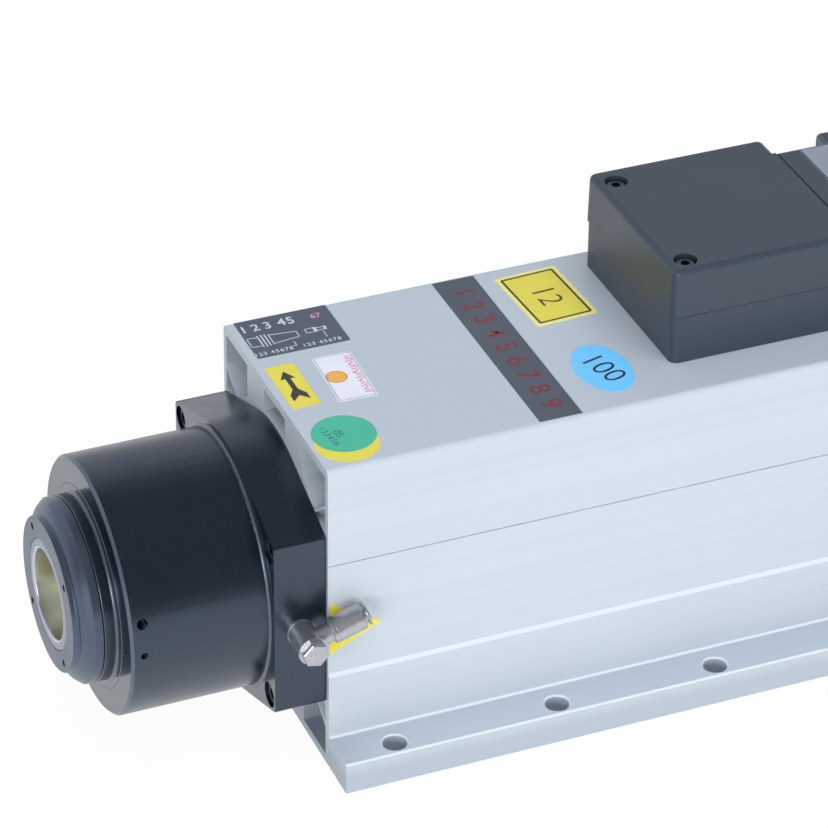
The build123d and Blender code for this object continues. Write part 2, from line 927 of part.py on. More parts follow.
def fan_cowl():
    solid = cowl_box(cowl_front, cowl_rear, 0)
    front_edge = solid.faces().sort_by(Axis.X)[0].outer_wire().edges()
    solid = fillet(front_edge, 1.5)
    solid = solid - cowl_box(cowl_front + cowl_wall, cowl_rear - cowl_wall, cowl_wall)
    solid = cut_pockets(solid, cowl_front, cowl_front + cowl_wall)
    solid = solid - ring(cowl_front, cowl_front + cowl_wall, cylinder_radius + clear_gap, 0)
    solid = solid - across(cowl_rear - cowl_wall, cowl_rear, fan_spot(0, 0) * Circle(fan_bore))
    for y, z in fan_places():
        boss = fan_spot(y, z) * Circle(4.5)
        solid = solid + across(cowl_rear - cowl_wall - 5, cowl_rear - cowl_wall, boss)
        solid = solid - across(cowl_rear - cowl_wall - 5, cowl_rear, fan_spot(y, z) * Circle(2.0 + seat_gap))
    for y, z in four_spots(cowl_screw_y, cowl_screw_z):
        hole = spot(y, z) * Circle(1.7)
        solid = solid - across(cowl_front, cowl_front + cowl_wall, hole)
    for along in port_places():
        mouth = at(along, body_width / 2 + 1, axis_height)
        solid = solid - rod(mouth - Vector(0, 6, 0), mouth, air_port_radius + 2)
    for y in cover_screw_places():
        place = Pos(front_x + cover_screw_along, y) * Circle(1.25 + seat_gap)
        solid = solid - upward(cowl_top - cowl_wall, cowl_top, place)
    return solid


def cowl_screws():
    start = cowl_front + cowl_wall
    return [
        cap_screw(at(start, y, axis_height + z), at(body_length + 0.3, y, axis_height + z), 1.5, 2.75, 2.4, 1.4)
        for y, z in four_spots(cowl_screw_y, cowl_screw_z)
    ]


def air_fittings():
    # Threaded ports that pass through the cowl's far side into the cylinder.
    pieces = []
    for along in port_places():
        inner = at(along, cylinder_radius - 3, axis_height)
        seat = at(along, cylinder_radius + 0.4, axis_height)
        wall = at(along, body_width / 2 + 1, axis_height)
        outer = wall + Vector(0, 8, 0)
        body = rod(inner, seat, 2.5 - seat_gap) + rod(seat, outer, air_port_radius + 1.4)
        body = body + hex_rod(wall, wall + Vector(0, 4, 0), air_port_flat)
        pieces.append(body - rod(inner, outer, 1.2) - rod(wall, outer, air_port_radius))
    return pieces


def fan_frame():
    start, end = cowl_rear, cowl_rear + fan_depth
    half = fan_size / 2
    shape = Rectangle(fan_size, fan_size)
    shape = fillet(shape.vertices(), 4.0)
    solid = across(start, end, fan_spot(0, 0) * shape)
    solid = solid - across(start, end, fan_spot(0, 0) * Circle(fan_bore))
    waist = Rectangle(fan_size + 2, fan_size + 2) - Circle(fan_bore + 2) - Rectangle(fan_size - 20, fan_size + 2)
    waist = waist - Rectangle(fan_size + 2, fan_size - 20)
    solid = solid - across(start + 4, end - 4, fan_spot(0, 0) * waist)
    for y, z in fan_places():
        solid = solid - across(start, end, fan_spot(y, z) * Circle(2.15))
    hub = across(end - 4, end, fan_spot(0, 0) * Circle(fan_hub))
    for i in range(4):
        arm = Pos(fan_hub + (fan_bore - fan_hub) / 2, 0) * Rectangle(fan_bore - fan_hub + 2, 4)
        hub = hub + across(end - 4, end, fan_spot(0, 0) * Rot(0, 0, 45 + 90 * i) * arm)
    axle = across(start + 6, end - 4, fan_spot(0, 0) * Circle(2.0))
    return solid + hub + axle


def fan_rotor():
    start, end = cowl_rear + 2.0, cowl_rear + fan_depth - 4.6
    hub = across(start, end, fan_spot(0, 0) * (Circle(fan_hub - 0.5)))
    hub = hub - across(start + 3, end, fan_spot(0, 0) * (Circle(fan_hub - 3) - Circle(5)))
    centre = at((start + end) / 2, 0, cowl_middle)
    span = fan_bore - 1.2 - (fan_hub - 1.5)
    blade = Box(1.8, span, 20)
    for i in range(blade_count):
        arm = Pos(0, fan_hub - 1.5 + span / 2, 0) * Rot(0, 38, 0) * blade
        hub = hub + Pos(*centre) * Rot(360 * i / blade_count, 0, 0) * arm
    hub = hub & across(start, end, fan_spot(0, 0) * Circle(fan_bore - 1.0))
    return hub - across(start, end, fan_spot(0, 0) * Circle(2.0 + run_gap))


def fan_guard():
    start = cowl_rear + fan_depth
    shape = fillet(Rectangle(fan_size, fan_size).vertices(), 4.0)
    for i in range(guard_slot_count):
        inner = guard_first_slot + i * guard_slot_pitch
        slot = Circle(inner + guard_slot_width) - Circle(inner)
        for turn in (45, 135):
            slot = slot - Rot(0, 0, turn) * Rectangle(fan_size * 1.4, 3.0)
        shape = shape - slot
    solid = across(start, start + guard_thickness, fan_spot(0, 0) * shape)
    for y, z in fan_places():
        solid = solid - across(start, start + guard_thickness, fan_spot(y, z) * Circle(2.2))
    return solid


def fan_screws():
    end = cowl_rear + fan_depth + guard_thickness
    return [
        cap_screw(at(end, y, cowl_middle + z), at(cowl_rear - cowl_wall - 4, y, cowl_middle + z),
                  2.0, 3.5, 2.6, 1.5)
        for y, z in fan_places()
    ]


# Terminal box

box_start = body_length - box_set_back - box_length
box_x = front_x + box_start + box_length / 2
box_y = box_near + box_width / 2
box_front = front_x + box_start
box_end = box_front + box_length
box_far = box_near + box_width
gland_z = (body_height + split_height) / 2
gland_x = (box_x - 8.0, box_x + 16.0)
gland_radius = 5.0
gland_flat = 13.0
cable_radius = 2.8
fix_radius = 1.5


def box_sketch(inset, radius):
    shape = Rectangle(box_length - inset * 2, box_width - inset * 2)
    return Pos(box_x, box_y) * fillet(shape.vertices(), radius)


def lid_screw_places():
    x = box_front + lid_screw_inset
    return [(x, box_near + lid_screw_inset), (x, box_far - lid_screw_far_inset)]


def box_fix_places():
    return [(x, y) for x in (box_front + fix_front, box_end - fix_rear)
            for y in (box_near + fix_near, box_far - fix_far)]


def wire_hole():
    return front_x + core_start + core_length() + wire_hole_past_core, wire_hole_y


def terminal_box_base():
    solid = upward(body_height, split_height - seam_height, box_sketch(base_inset, box_round))
    solid = solid + upward(body_height, split_height, box_sketch(seam_depth, box_round - 0.5))
    solid = solid - upward(body_height + box_wall, split_height, box_sketch(box_wall, 1.5))
    for x, y in lid_screw_places():
        post = upward(body_height + 1, split_height, Pos(x, y) * Circle(5.2))
        solid = solid + (post & upward(body_height, split_height, box_sketch(seam_depth, box_round)))
    for x, y in lid_screw_places():
        solid = solid - upward(split_height - 13, split_height, Pos(x, y) * Circle(1.75 + seat_gap))
    solid = solid - upward(split_height - 1.0, split_height, gasket_sketch())
    solid = solid - upward(body_height, body_height + box_wall, Pos(*wire_hole()) * Circle(wire_hole_radius))
    for x in gland_x:
        wall = Vector(x, box_far - 8, gland_z)
        solid = solid - rod(wall, wall + Vector(0, 10, 0), gland_radius + seat_gap)
    for x, y in box_fix_places():
        solid = solid - upward(body_height, body_height + box_wall, Pos(x, y) * Circle(fix_radius + 0.2))
    return solid


def terminal_box_screws():
    floor = body_height + box_wall
    return [
        cap_screw(Vector(x, y, floor), Vector(x, y, body_height - fix_depth), fix_radius, 2.75, 3.0, 1.5)
        for x, y in box_fix_places()
    ]


def gasket_sketch():
    groove = box_sketch(seam_depth + 0.6, 2.0) - box_sketch(seam_depth + 1.5, 1.6)
    for x, y in lid_screw_places():
        groove = groove - Pos(x, y) * Circle(2.4)
    return groove


def terminal_box_gasket():
    return upward(split_height - 1.0, split_height, gasket_sketch())


def terminal_box_lid():
    solid = upward(split_height, lid_top, box_sketch(0, box_round), taper=1.2)
    solid = fillet(solid.faces().sort_by(Axis.Z)[-1].outer_wire().edges(), 2.2)
    solid = solid - upward(split_height, lid_top - box_wall, box_sketch(box_wall, 1.5), taper=1.2)
    whole = upward(split_height, lid_top - 1, box_sketch(1.2, box_round), taper=1.2)
    for x, y in lid_screw_places():
        post = upward(split_height, lid_top - 1, Pos(x, y) * Circle(5.6))
        solid = solid + (post & whole)
    for x, y in lid_screw_places():
        solid = solid - upward(split_height, lid_top, Pos(x, y) * Circle(1.95))
        solid = solid - upward(lid_top - recess_depth, lid_top, Pos(x, y) * Circle(recess_radius))
    # The rear edge stays square where it meets the wiring cover.
    square = Pos(box_end - 2.0, cover_y) * Rectangle(4.0, cover_width)
    solid = solid + upward(lid_top - box_wall, lid_top, square)
    # Two tongues behind the base's rear wall keep the lid's rear edge down.
    for y in (box_y - 18, box_y + 18):
        tongue = Pos(box_end - box_wall - 1.6, y) * Rectangle(1.6, 10)
        solid = solid + upward(split_height - 3.0, lid_top - box_wall, tongue)
    return solid


def lid_screws():
    return [
        cap_screw(Vector(x, y, lid_top - recess_depth), Vector(x, y, split_height - 11), 1.75, 3.1, 2.2, 1.5)
        for x, y in lid_screw_places()
    ]


def terminal_block():
    low, high = body_height + box_wall, body_height + box_wall + block_height
    x, y = box_x + 2, box_y - 6
    solid = upward(low, high, Pos(x, y) * Rectangle(block_length, block_width))
    solid = chamfer(solid.edges().filter_by(Axis.X).group_by(Axis.Z)[-1], 1.5)
    for i in range(pole_count):
        place = x + (i - (pole_count - 1) / 2) * pole_pitch
        solid = solid - upward(high - 6, high, Pos(place, y) * Circle(2.6))
        mouth = Vector(place, y - block_width / 2, low + 4.5)
        solid = solid - rod(mouth, mouth + Vector(0, block_width, 0), 2.0)
    return solid


def flat_hex(start, length, flat):
    # Two of its flats lie level.
    plane = Plane(start, x_dir=(1, 0, 0), z_dir=(0, 1, 0))
    return extrude(plane * RegularPolygon(flat / 2, 6, major_radius=False), length)


def gland_parts(make):
    return [make(Vector(x, box_far - 0.4, gland_z)) for x in gland_x]


def past(point, distance):
    return point + Vector(0, distance, 0)


def gland_bodies():
    def one(face):
        inner, end = past(face, -9), past(face, 11)
        solid = rod(inner, face, gland_radius) + flat_hex(face, 5.0, gland_flat)
        return solid + rod(past(face, 5), end, gland_radius + 0.2) - rod(inner, end, gland_radius - 1.2)

    return gland_parts(one)


def gland_caps():
    def one(face):
        start, end = past(face, 5), past(face, 17)
        solid = flat_hex(start, 8.0, gland_flat) + rod(past(start, 8), end, gland_radius + 0.6)
        solid = solid - rod(start, past(start, 6), gland_radius + 0.2 + seat_gap)
        return solid - rod(start, end, cable_radius + 0.6)

    return gland_parts(one)


def gland_seals():
    def one(face):
        return tube(face, past(face, 11), gland_radius - 1.2 - seat_gap, cable_radius)

    return gland_parts(one)


def gland_nuts():
    def one(face):
        start = past(face, 0.4 - box_wall - 3.5)
        return flat_hex(start, 3.5, gland_flat - 1) - rod(start, past(start, 3.5), gland_radius + seat_gap)

    return gland_parts(one)


# Wiring cover

cover_start = box_start + box_length + cover_gap
cover_y = cover_near + cover_width / 2
cover_screw_along = cover_start + cover_length - 6.0


def cover_screw_places():
    return (cover_near + 7.0, cover_near + cover_width - 7.0)


def cover_block(inset, top):
    deep = cowl_front - cover_gap - cover_start
    x = front_x + cover_start + deep / 2
    front = Pos(x, cover_y) * Rectangle(deep - inset * 2, cover_width - inset * 2)
    x = front_x + cover_start + cover_length / 2
    roof = Pos(x, cover_y) * Rectangle(cover_length - inset * 2, cover_width - inset * 2)
    return upward(body_height, top, front) + upward(cowl_top, top, roof)


def wiring_cover():
    solid = cover_block(0, lid_top)
    uprights = solid.edges().filter_by(Axis.Z)
    far_corners = uprights.sort_by(Axis.X)[-2:]
    solid = fillet(far_corners, 2.5)
    rim = solid.faces().sort_by(Axis.Z)[-1].outer_wire().edges()
    solid = fillet(rim.sort_by(Axis.X)[1:], 1.2)
    solid = solid - cover_block(cover_wall, lid_top - cover_wall)
    for y in cover_screw_places():
        place = Pos(front_x + cover_screw_along, y)
        solid = solid + upward(cowl_top, lid_top - 1, place * Circle(4.2))
        solid = solid - upward(cowl_top, lid_top, place * Circle(1.45))
        solid = solid - upward(lid_top - 2.6, lid_top, place * Circle(3.0))
    return solid


def cover_screws():
    x = front_x + cover_screw_along
    return [
        cap_screw(Vector(x, y, lid_top - 2.6), Vector(x, y, cowl_top - cowl_wall), 1.25, 2.5, 2.0, 1.2)
        for y in cover_screw_places()
    ]


# Files


def save(name, pieces):
    shape = Compound(children=list(pieces)) if isinstance(pieces, (list, tuple)) else pieces
    export_step(shape, f"parts/{name}.step")


def main():
    os.makedirs("parts", exist_ok=True)
    front_outer, front_inner, front_balls, front_cages = bearing_rows(front_bearing, front_starts())
    rear_outer, rear_inner, rear_balls, rear_cages = bearing_rows(rear_bearing, rear_starts())
    spacer_outer, spacer_inner = spacers()
    save("front_outer_rings", front_outer)
    save("front_inner_rings", front_inner)
    save("front_balls", front_balls)
    save("front_cages", front_cages)
    save("rear_outer_rings", rear_outer)
    save("rear_inner_rings", rear_inner)
    save("rear_balls", rear_balls)
    save("rear_cages", rear_cages)
    save("front_spacer_outer", spacer_outer)
    save("front_spacer_inner", spacer_inner)
    for i in range(4):
        save(f"claw_{i + 1}", claw(i))
    for make in (
        body_extrusion, front_housing, front_cap, flange_screws, banjo_bolt, elbow_washers,
        elbow_body, release_collar, rear_bearing_housing, preload_spring, spindle_shaft,
        nose_ring, rotor_core, rotor_end_rings, rear_lock_nut, stator_core, stator_winding,
        drawbar, drawbar_nut, disc_springs, rear_plate, rear_plate_screws, cylinder_body,
        cylinder_cover, cylinder_screws, piston, piston_seal, fan_cowl, cowl_screws,
        air_fittings, fan_frame, fan_rotor, fan_guard, fan_screws,
        terminal_box_base, terminal_box_screws, terminal_box_gasket, terminal_box_lid, lid_screws,
        terminal_block, gland_bodies, gland_caps, gland_seals, gland_nuts,
        wiring_cover, cover_screws,
    ):
        save(make.__name__, make())


if __name__ == "__main__":
    main()
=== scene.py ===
import bpy
import json
import math
from mathutils import Matrix, Vector

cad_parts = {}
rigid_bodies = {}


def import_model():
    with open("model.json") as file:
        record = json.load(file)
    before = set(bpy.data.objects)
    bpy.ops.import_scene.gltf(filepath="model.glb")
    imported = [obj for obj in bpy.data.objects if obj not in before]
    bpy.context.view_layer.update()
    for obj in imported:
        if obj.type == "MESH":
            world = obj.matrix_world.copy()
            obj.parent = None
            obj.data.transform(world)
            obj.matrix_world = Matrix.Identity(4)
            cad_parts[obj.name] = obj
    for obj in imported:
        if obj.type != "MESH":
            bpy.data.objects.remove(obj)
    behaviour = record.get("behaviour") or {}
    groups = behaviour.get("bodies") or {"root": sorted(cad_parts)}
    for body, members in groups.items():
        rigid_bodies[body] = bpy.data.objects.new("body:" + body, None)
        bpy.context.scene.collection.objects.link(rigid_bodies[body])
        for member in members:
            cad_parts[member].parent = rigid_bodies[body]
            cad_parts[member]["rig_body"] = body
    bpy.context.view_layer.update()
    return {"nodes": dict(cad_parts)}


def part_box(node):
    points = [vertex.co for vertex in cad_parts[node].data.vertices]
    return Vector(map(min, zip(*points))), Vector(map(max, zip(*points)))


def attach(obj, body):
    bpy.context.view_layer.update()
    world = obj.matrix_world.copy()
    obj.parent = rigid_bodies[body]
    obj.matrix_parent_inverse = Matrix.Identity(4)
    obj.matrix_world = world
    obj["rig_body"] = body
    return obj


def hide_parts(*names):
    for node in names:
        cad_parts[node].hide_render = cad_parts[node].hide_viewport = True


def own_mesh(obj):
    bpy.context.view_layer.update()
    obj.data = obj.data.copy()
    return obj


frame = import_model()
mm = 0.001
spindleHeight = 60 * mm
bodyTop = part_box("body_extrusion")[1].z
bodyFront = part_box("body_extrusion")[0].x
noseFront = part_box("spindle_shaft")[0].x
print("frame loaded:", len(frame["nodes"]), "nodes")


def toLinear(hexColour):
    parts = [int(hexColour[i:i + 2], 16) / 255 for i in (1, 3, 5)]
    return [c / 12.92 if c <= 0.04045 else ((c + 0.055) / 1.055) ** 2.4 for c in parts] + [1.0]


def addNode(tree, kind, settings=None, links=None):
    node = tree.nodes.new(kind)
    for name, value in (settings or {}).items():
        if isinstance(name, int) or name in node.inputs:
            node.inputs[name].default_value = value
        else:
            setattr(node, name, value)
    for name, source in (links or {}).items():
        tree.links.new(source, node.inputs[name])
    return node


def newMaterial(name, colour, metallic, roughness):
    material = bpy.data.materials.new(name)
    material.use_nodes = True
    material.diffuse_color = toLinear(colour)
    tree = material.node_tree
    shader = tree.nodes["Principled BSDF"]
    shader.inputs["Base Color"].default_value = toLinear(colour)
    shader.inputs["Metallic"].default_value = metallic
    shader.inputs["Roughness"].default_value = roughness
    place = addNode(tree, "ShaderNodeTexCoord").outputs["Object"]
    return material, tree, shader, place


def stretchedNoise(tree, place, scale, detail=3.0, centre=(0, 0, 0)):
    # scale is in cells per metre along each axis
    mapping = addNode(tree, "ShaderNodeMapping", {"Location": centre, "Scale": scale}, {"Vector": place})
    settings = {"Scale": 1.0, "Detail": detail}
    return addNode(tree, "ShaderNodeTexNoise", settings, {"Vector": mapping.outputs[0]})


def grainNoise(tree, place, grain, detail):
    # grain is the size of a cell in millimetres
    settings = {"Scale": 1 / (grain * mm), "Detail": detail}
    return addNode(tree, "ShaderNodeTexNoise", settings, {"Vector": place}).outputs[0]


def mixColours(tree, factor, low, high):
    node = addNode(tree, "ShaderNodeMix", {"data_type": "RGBA"}, {0: factor})
    for index, value in ((6, low), (7, high)):
        if isinstance(value, str):
            node.inputs[index].default_value = toLinear(value)
        else:
            tree.links.new(value, node.inputs[index])
    return node.outputs[2]


def remap(tree, source, fromLow, fromHigh, toLow, toHigh):
    settings = {"From Min": fromLow, "From Max": fromHigh, "To Min": toLow, "To Max": toHigh}
    return addNode(tree, "ShaderNodeMapRange", settings, {"Value": source}).outputs[0]


def calculate(tree, operation, first, second=None):
    node = addNode(tree, "ShaderNodeMath", {"operation": operation})
    for index, value in ((0, first), (1, second)):
        if value is None:
            continue
        if isinstance(value, (int, float)):
            node.inputs[index].default_value = value
        else:
            tree.links.new(value, node.inputs[index])
    return node.outputs[0]


def addBump(tree, shader, height, distance, strength=1.0):
    bump = addNode(tree, "ShaderNodeBump", {"Strength": strength, "Distance": distance}, {"Height": height})
    tree.links.new(bump.outputs[0], shader.inputs["Normal"])


def axisPart(tree, source, axis):
    # one of the x, y and z parts of a place or a direction
    return addNode(tree, "ShaderNodeSeparateXYZ", {}, {0: source}).outputs["XYZ".index(axis)]


def spindleRadius(tree, place):
    # the distance from the spindle's axis
    axisAtZero = {"Location": (0, 0, -spindleHeight)}
    centred = addNode(tree, "ShaderNodeMapping", axisAtZero, {"Vector": place}).outputs[0]
    sides = [axisPart(tree, centred, axis) for axis in "YZ"]
    squares = [calculate(tree, "MULTIPLY", side, side) for side in sides]
    return calculate(tree, "SQRT", calculate(tree, "ADD", *squares))


def flatNormal(tree):
    # the direction of the flat faces under a smooth shade
    return addNode(tree, "ShaderNodeNewGeometry").outputs["True Normal"]


def anodisedAluminium():
    # matt clear anodised extrusion: even, with very faint die lines along it and sawn ends
    material, tree, shader, place = newMaterial("clearAnodisedAluminium", "#BCC5CE", 0.15, 0.5)
    lines = stretchedNoise(tree, place, (2, 500, 500), 1.0)
    cloud = stretchedNoise(tree, place, (9, 14, 14), 2.0)
    sawn = stretchedNoise(tree, place, (10, 60, 1500), 2.0)
    along = axisPart(tree, addNode(tree, "ShaderNodeTexCoord").outputs["Normal"], "X")
    endFace = calculate(tree, "GREATER_THAN", calculate(tree, "ABSOLUTE", along), 0.8)
    pattern = addNode(tree, "ShaderNodeMix", {"data_type": "FLOAT"},
                      {0: endFace, 2: lines.outputs[0], 3: sawn.outputs[0]}).outputs[0]
    tone = mixColours(tree, remap(tree, pattern, 0.3, 0.7, 0, 1), "#B9C4CE", "#BEC8D2")
    tone = mixColours(tree, remap(tree, cloud.outputs[0], 0.35, 0.7, 0, 0.4), tone, "#B6C0CB")
    # painted shade darkens everything below 14 mm towards the floor, and a painted highlight lightens slanted
    # faces and rounded edges, fading out between 60 and 100 mm high
    floorShadeHeights, highlightHeights = (14 * mm, 6 * mm), (100 * mm, 60 * mm)
    height = axisPart(tree, place, "Z")
    # painted shade: darker towards the floor
    tone = mixColours(tree, remap(tree, height, *floorShadeHeights, 0, 1), tone, "#A6B1BC")
    upwards = axisPart(tree, flatNormal(tree), "Z")
    slanted = calculate(tree, "MULTIPLY", remap(tree, upwards, 0.2, 0.3, 0, 1),
                        remap(tree, upwards, 0.98, 0.9, 0, 1))
    lowEnough = remap(tree, height, *highlightHeights, 0, 1)
    # painted highlight on slanted faces and rounded edges
    tone = mixColours(tree, calculate(tree, "MULTIPLY", slanted, lowEnough), tone, "#D0DAE4")
    tree.links.new(tone, shader.inputs["Base Color"])
    tree.links.new(remap(tree, pattern, 0.3, 0.7, 0.48, 0.54), shader.inputs["Roughness"])
    addBump(tree, shader, pattern, 0.003 * mm, 0.25)
    return material


def turnedFinish(name, dark, light, metallic, roughness, pitch, depth):
    # a lathe's fine rings: they repeat along the axis on a cylinder and outwards on a face
    material, tree, shader, place = newMaterial(name, dark, metallic, roughness)
    radius = spindleRadius(tree, place)
    travel = calculate(tree, "ADD", axisPart(tree, place, "X"), radius)
    settings = {"noise_dimensions": "1D", "Scale": 1 / (pitch * mm), "Detail": 2.0}
    rings = addNode(tree, "ShaderNodeTexNoise", settings, {"W": travel})
    smudge = stretchedNoise(tree, place, (60, 60, 60), 4.0)
    tone = mixColours(tree, remap(tree, rings.outputs[0], 0.35, 0.65, 0, 1), dark, light)
    tree.links.new(tone, shader.inputs["Base Color"])
    ringRough = remap(tree, rings.outputs[0], 0.3, 0.7, roughness - 0.03, roughness + 0.03)
    rough = calculate(tree, "ADD", ringRough, remap(tree, smudge.outputs[0], 0.4, 0.7, 0, 0.06))
    tree.links.new(rough, shader.inputs["Roughness"])
    addBump(tree, shader, rings.outputs[0], depth * mm, 0.6)
    return {"material": material, "tree": tree, "shader": shader, "place": place, "radius": radius,
            "tone": tone, "rough": rough}


def setShine(shader, reflectance, tint):
    shader.inputs["IOR"].default_value = reflectance
    shader.inputs["Specular Tint"].default_value = (*tint, 1.0)


def blackAnodised():
    # black anodised aluminium turned on a lathe: a clear dark shine with fine rings
    finish = turnedFinish("blackAnodisedAluminium", "#0B0F17", "#0F141E", 0.0, 0.27, 0.35, 0.003)
    tree, shader = finish["tree"], finish["shader"]
    setShine(shader, 1.95, (0.6, 0.76, 1.0))
    # the faced front is smoother than the turned side, and its chamfers get a painted highlight, a lighter
    # colour
    along = axisPart(tree, flatNormal(tree), "X")
    faced = calculate(tree, "MULTIPLY", finish["rough"], remap(tree, along, -0.97, -0.93, 0.6, 1))
    tree.links.new(faced, shader.inputs["Roughness"])
    chamferHighlight = calculate(tree, "MULTIPLY", remap(tree, along, -0.25, -0.35, 0, 1),
                     remap(tree, along, -0.93, -0.88, 0, 1))
    # painted highlight: the chamfers are lightened
    tree.links.new(mixColours(tree, chamferHighlight, finish["tone"], "#434B57"), shader.inputs["Base Color"])
    return finish["material"]


def blackOxide(name, dark, light, roughness, reflectance):
    # oiled black oxide on steel: a soft dark shine
    finish = turnedFinish(name, dark, light, 0.0, roughness, 0.3, 0.003)
    setShine(finish["shader"], reflectance, (0.5, 0.68, 1.0))
    return finish["material"]


shaftNose = {"socketRadius": 15.7 * mm, "rimRadius": 16.6 * mm, "endDepth": 0.4 * mm}


def groundSteel():
    # hardened shaft steel, ground: bright rings, and a thin oil film in the taper that turns it olive
    finish = turnedFinish("groundShaftSteel", "#C4C8CE", "#D2D6DC", 1.0, 0.3, 0.25, 0.002)
    tree, place, radius = finish["tree"], finish["place"], finish["radius"]
    inside = calculate(tree, "LESS_THAN", radius, shaftNose["socketRadius"])
    film = stretchedNoise(tree, place, (45, 90, 90), 4.0)
    filmShare = calculate(tree, "MULTIPLY", inside, remap(tree, film.outputs[0], 0.35, 0.6, 0.35, 0.95))
    tone = mixColours(tree, filmShare, finish["tone"], "#D4D9C0")
    pool = stretchedNoise(tree, place, (60, 75, 75), 2.0, (0.3, 0.1, 0.2))
    poolShare = calculate(tree, "MULTIPLY", inside, remap(tree, pool.outputs[0], 0.52, 0.7, 0, 0.5))
    tone = mixColours(tree, poolShare, tone, "#BCA94E")
    # the shaft's end face is given a darker, bluer grey than the taper
    outside = calculate(tree, "GREATER_THAN", radius, shaftNose["rimRadius"])
    atEnd = calculate(tree, "LESS_THAN", axisPart(tree, place, "X"), noseFront + shaftNose["endDepth"])
    endFace = calculate(tree, "MULTIPLY", outside, atEnd)
    tree.links.new(mixColours(tree, endFace, tone, "#8C94A6"), finish["shader"].inputs["Base Color"])
    return finish["material"]


def mouldedPlastic(name, dark, light, roughness, grain, depth):
    # injection moulded case plastic with a spark eroded texture
    material, tree, shader, place = newMaterial(name, dark, 0.0, roughness)
    texture = grainNoise(tree, place, grain, 3.0)
    cloud = stretchedNoise(tree, place, (25, 25, 25), 3.0)
    tone = mixColours(tree, remap(tree, texture, 0.35, 0.65, 0, 1), dark, light)
    tone = mixColours(tree, remap(tree, cloud.outputs[0], 0.4, 0.7, 0, 0.4), tone, light)
    tree.links.new(tone, shader.inputs["Base Color"])
    tree.links.new(remap(tree, cloud.outputs[0], 0.3, 0.7, roughness - 0.05, roughness + 0.06),
                   shader.inputs["Roughness"])
    addBump(tree, shader, texture, depth * mm, 0.6)
    return material


def fineMetal(name, dark, light, roughness, grain=0.4, metallic=1.0):
    # bare or plated metal with a faint tumbled grain
    material, tree, shader, place = newMaterial(name, dark, metallic, roughness)
    texture = grainNoise(tree, place, grain, 2.0)
    tone = mixColours(tree, remap(tree, texture, 0.35, 0.65, 0, 1), dark, light)
    tree.links.new(tone, shader.inputs["Base Color"])
    rough = remap(tree, texture, 0.3, 0.7, roughness - 0.02, roughness + 0.03)
    tree.links.new(rough, shader.inputs["Roughness"])
    addBump(tree, shader, texture, 0.0006 * mm, 0.3)
    return material


def stackedSheet():
    # electrical steel sheet stacked along the axis
    thickness = 0.5 * mm
    material, tree, shader, place = newMaterial("stackedElectricalSheet", "#55585E", 1.0, 0.45)
    along = axisPart(tree, place, "X")
    edges = calculate(tree, "SINE", calculate(tree, "MULTIPLY", along, 2 * math.pi / thickness))
    tree.links.new(mixColours(tree, remap(tree, edges, -1, 1, 0, 1), "#3E4046", "#6A6D74"),
                   shader.inputs["Base Color"])
    addBump(tree, shader, edges, 0.02 * mm, 0.6)
    return material


def copperWinding():
    # varnished copper wire wound in loose rows, about 1.6 mm from row to row
    material, tree, shader, place = newMaterial("varnishedCopperWire", "#A65A2C", 0.9, 0.3)
    rowScale = 198.4
    settings = {"Scale": rowScale, "Distortion": 3.0, "Detail": 2.0}
    wave = addNode(tree, "ShaderNodeTexWave", settings, {"Vector": place})
    tree.links.new(mixColours(tree, wave.outputs["Fac"], "#7A3C1B", "#C27238"), shader.inputs["Base Color"])
    addBump(tree, shader, wave.outputs["Fac"], 0.2 * mm, 0.7)
    return material


def printedVinyl(name, colour, shade, roughness=0.38):
    # a sticker's printed vinyl: even ink with a faint orange peel
    material, tree, shader, place = newMaterial(name, colour, 0.0, roughness)
    peel = grainNoise(tree, place, 1.2, 2.0)
    cloud = stretchedNoise(tree, place, (70, 70, 70), 3.0)
    tree.links.new(mixColours(tree, remap(tree, cloud.outputs[0], 0.35, 0.7, 0, 1), colour, shade),
                   shader.inputs["Base Color"])
    addBump(tree, shader, peel, 0.01 * mm, 0.4)
    return material


def softRubber(name, colour):
    # moulded nitrile rubber, dull, with fine dust
    material, tree, shader, place = newMaterial(name, colour, 0.0, 0.7)
    dust = grainNoise(tree, place, 0.6, 4.0)
    tree.links.new(mixColours(tree, remap(tree, dust, 0.45, 0.75, 0, 0.5), colour, "#3A3A3C"),
                   shader.inputs["Base Color"])
    addBump(tree, shader, dust, 0.01 * mm, 0.5)
    return material


def phenolicCage():
    # cotton cloth in brown resin
    thread = 0.4 * mm
    material, tree, shader, place = newMaterial("clothFilledResin", "#8A6430", 0.0, 0.5)
    weave = addNode(tree, "ShaderNodeTexChecker", {"Scale": 1 / thread}, {"Vector": place})
    tree.links.new(mixColours(tree, weave.outputs["Fac"], "#7A5527", "#9C7440"), shader.inputs["Base Color"])
    addBump(tree, shader, weave.outputs["Fac"], 0.01 * mm, 0.5)
    return material


